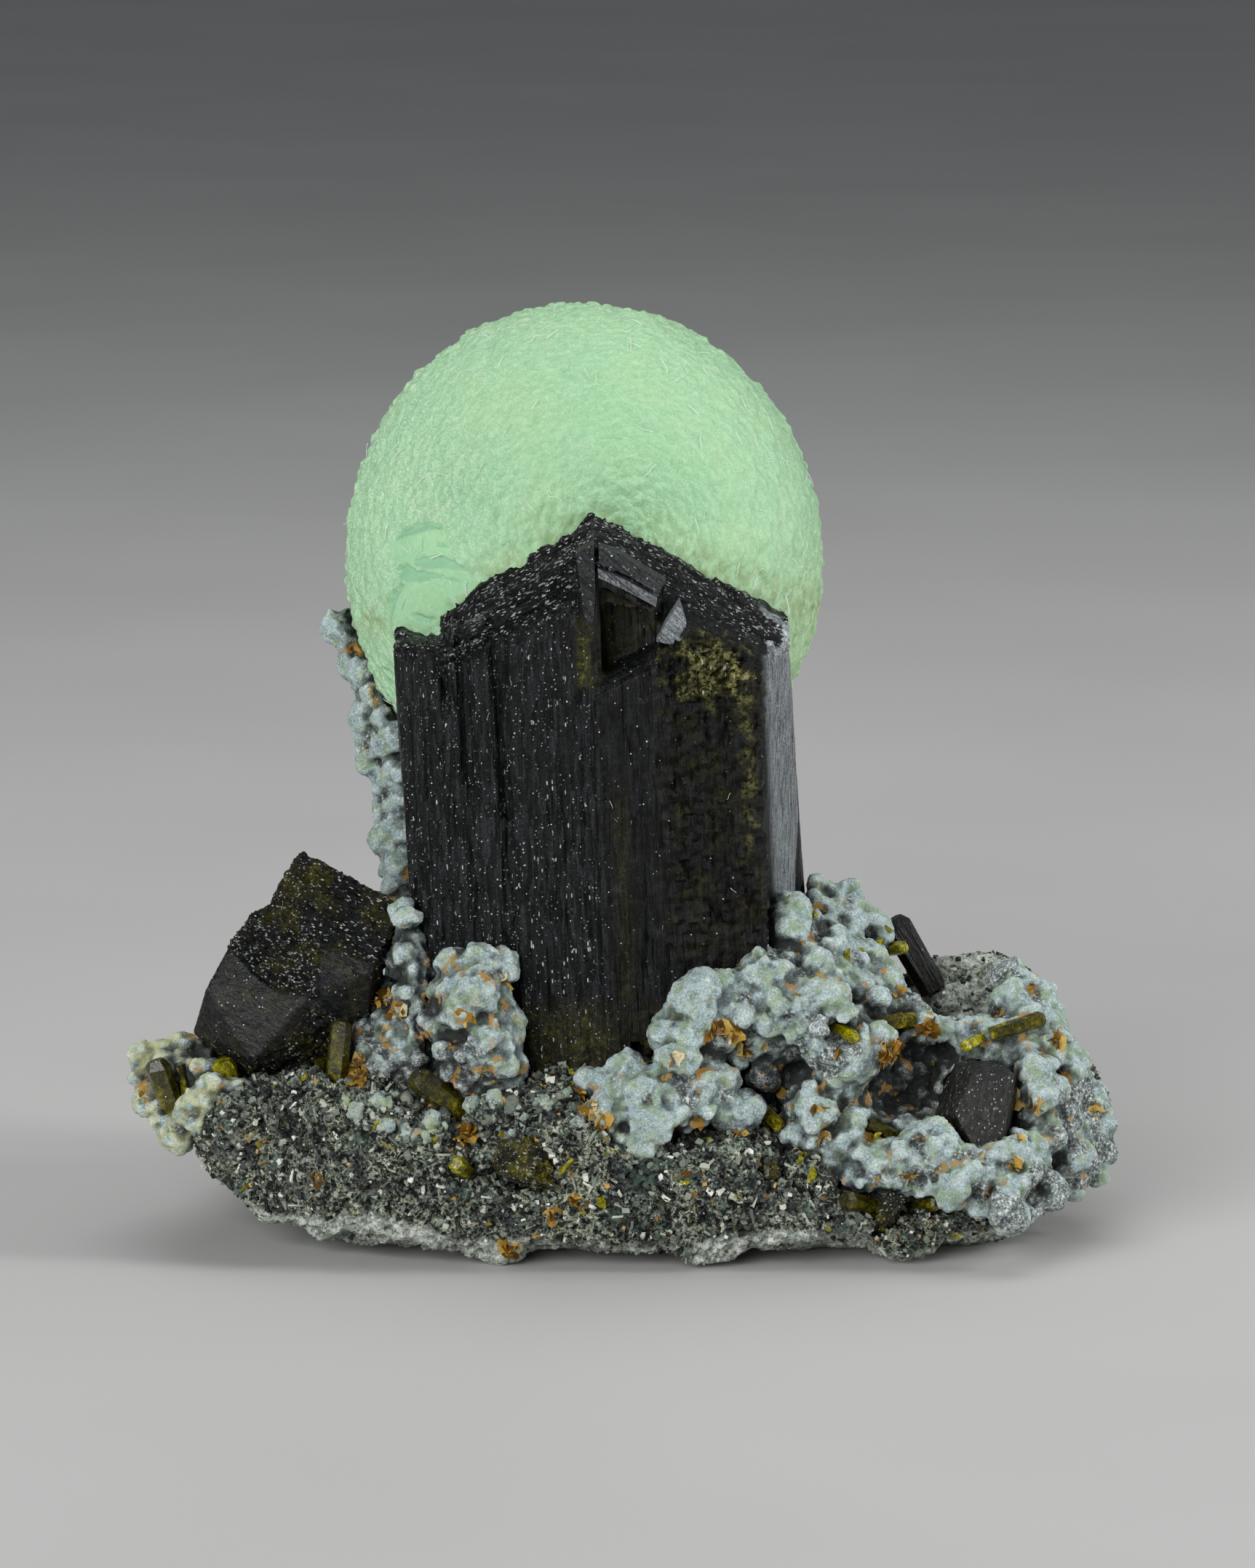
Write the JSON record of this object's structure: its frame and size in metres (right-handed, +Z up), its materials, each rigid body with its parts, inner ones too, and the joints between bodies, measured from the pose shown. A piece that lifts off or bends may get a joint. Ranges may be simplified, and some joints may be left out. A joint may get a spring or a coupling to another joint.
{
  "type": "prehnite with epidote specimen",
  "caption": "Cabinet mineral specimen: a mint-green prehnite ball behind a stout black-green epidote crystal, with olive prisms and blue-grey crust on a plate of host rock.",
  "frame": {"origin": "middle of the bounding box seen from above, on the plane the rock stands on", "axes": "+X to the right as seen from the front, +Y away from the viewer, +Z up"},
  "size_m": [0.0634, 0.0388, 0.0582],
  "materials": {
    "host_rock": "rough, fine-grained",
    "prehnite": "waxy, translucent, finely scaled",
    "dark_epidote": "vitreous, striated",
    "olive_epidote": "vitreous, translucent",
    "prehnite_crust": "velvety, botryoidal"
  },
  "bodies": {
    "root": {"matrix": "host_rock", "prehnite_ball": "prehnite", "epidote_main": "dark_epidote", "epidote_left": "dark_epidote", "epidote_tabular": "dark_epidote", "prism_back": "dark_epidote", "prism_rock_front": "dark_epidote", "prism_left_stout": "olive_epidote", "prism_left_tiny": "olive_epidote", "prism_left_yellow": "olive_epidote", "prism_standing": "olive_epidote", "prism_standing_pair": "olive_epidote", "prism_lying_dark": "olive_epidote", "prism_rock_small": "olive_epidote", "prism_window": "olive_epidote", "prism_yellow_mound": "olive_epidote", "prism_hollow_dark": "olive_epidote", "prism_long": "olive_epidote", "prism_long_tail": "olive_epidote", "prism_back_yellow": "olive_epidote", "prism_slope": "olive_epidote", "prism_ridge": "olive_epidote", "prism_front_left": "olive_epidote", "prism_front_middle": "olive_epidote", "prism_front_right": "olive_epidote", "prism_right_thin": "olive_epidote", "prism_cavity": "olive_epidote", "crust_left_mound": "prehnite_crust", "crust_left_gap": "prehnite_crust", "crust_column": "prehnite_crust", "crust_left_tip": "prehnite_crust", "crust_front": "prehnite_crust", "crust_right": "prehnite_crust"}
  },
  "joints": []
}
